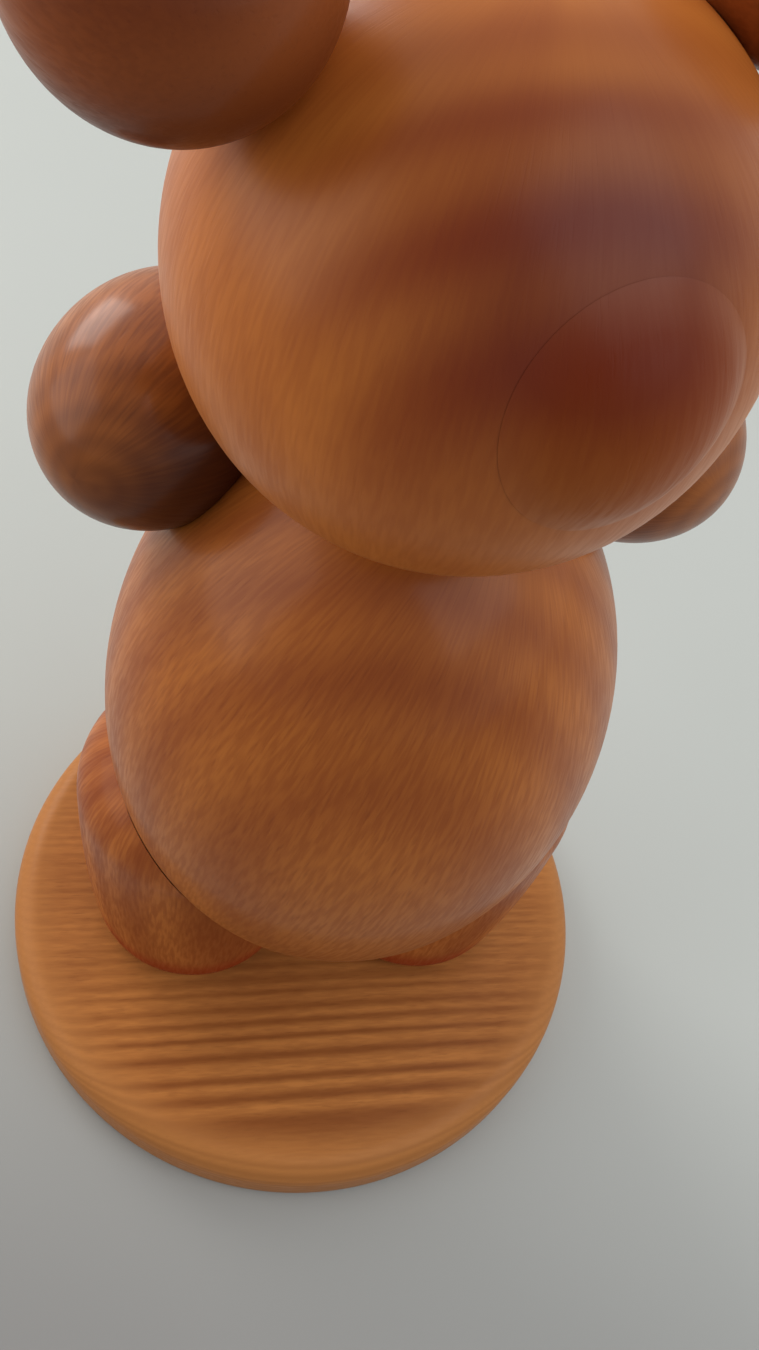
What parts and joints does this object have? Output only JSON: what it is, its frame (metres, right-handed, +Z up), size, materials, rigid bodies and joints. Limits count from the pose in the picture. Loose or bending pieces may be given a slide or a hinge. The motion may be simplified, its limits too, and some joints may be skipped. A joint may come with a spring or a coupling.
{
  "type": "wooden bear figurine",
  "caption": "Standing bear of lacquered turned-wood balls and eggs on a round wooden base, with a head that turns on its neck dowel.",
  "frame": {"origin": "middle of the underside of the round base, on the surface it stands on", "axes": "+Z up, -Y the way the body faces, +X to the bear's left"},
  "size_m": [0.081, 0.081, 0.1533],
  "materials": {
    "base_wood": "clear satin lacquer over striped flat-sawn softwood",
    "body_wood": "clear gloss lacquer over reddish-brown turned wood",
    "limb_wood": "clear gloss lacquer over darker reddish-brown turned wood",
    "dowel_wood": "raw, unfinished",
    "screw_steel": "zinc plated"
  },
  "bodies": {
    "figure": {"base_disc": "base_wood", "body": "body_wood", "left_leg": "limb_wood", "right_leg": "limb_wood", "left_arm": "limb_wood", "right_arm": "limb_wood", "neck_dowel": "dowel_wood", "left_arm_dowel": "dowel_wood", "right_arm_dowel": "dowel_wood", "left_hip_dowel": "dowel_wood", "right_hip_dowel": "dowel_wood", "left_leg_screw": "screw_steel", "right_leg_screw": "screw_steel"},
    "head": {"head": "body_wood", "left_ear": "limb_wood", "right_ear": "limb_wood", "muzzle": "body_wood", "left_ear_dowel": "dowel_wood", "right_ear_dowel": "dowel_wood", "muzzle_dowel": "dowel_wood"}
  },
  "joints": [
    {"name": "head_turn", "type": "hinge", "parent": "figure", "child": "head", "pos_m": [0, 0, 0.0988], "axis": [0, 0, 1], "continuous": true}
  ]
}
